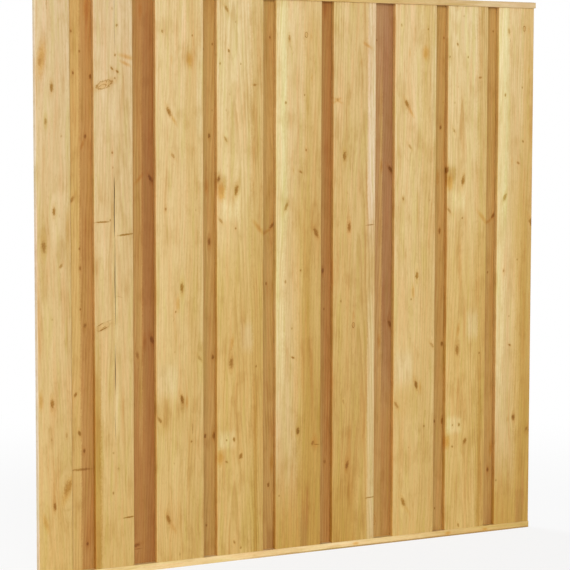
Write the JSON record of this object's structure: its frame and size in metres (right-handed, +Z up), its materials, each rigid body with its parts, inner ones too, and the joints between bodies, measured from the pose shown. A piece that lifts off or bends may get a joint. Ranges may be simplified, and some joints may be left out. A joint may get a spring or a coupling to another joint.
{
  "type": "closeboard fence panel",
  "caption": "Tall square timber fence panel of lapped upright pine boards between a top cap and a bottom plate, with rails across the back; closes the bay between posts.",
  "frame": {"origin": "middle of the panel's underside, at the centre of its length and of its depth", "axes": "+X along the panel to the right as seen from the front, +Y from the front to the back, +Z up"},
  "size_m": [1.8, 0.08, 1.8],
  "materials": {
    "front_board": "planed pine",
    "rear_board": "planed pine, browner",
    "rail": "planed pine",
    "cap": "planed pine",
    "screw": "zinc plated"
  },
  "bodies": {
    "root": {"front_board_1": "front_board", "front_board_2": "front_board", "front_board_3": "front_board", "front_board_4": "front_board", "front_board_5": "front_board", "front_board_6": "front_board", "front_board_7": "front_board", "front_board_8": "front_board", "front_board_9": "front_board", "rear_board_1": "rear_board", "rear_board_2": "rear_board", "rear_board_3": "rear_board", "rear_board_4": "rear_board", "rear_board_5": "rear_board", "rear_board_6": "rear_board", "rear_board_7": "rear_board", "rear_board_8": "rear_board", "left_batten": "rail", "right_batten": "rail", "top_rail": "rail", "middle_rail": "rail", "bottom_rail": "rail", "top_cap": "cap", "bottom_plate": "cap", "board_screws": "screw", "cap_screws": "screw", "plate_screws": "screw"}
  },
  "joints": []
}
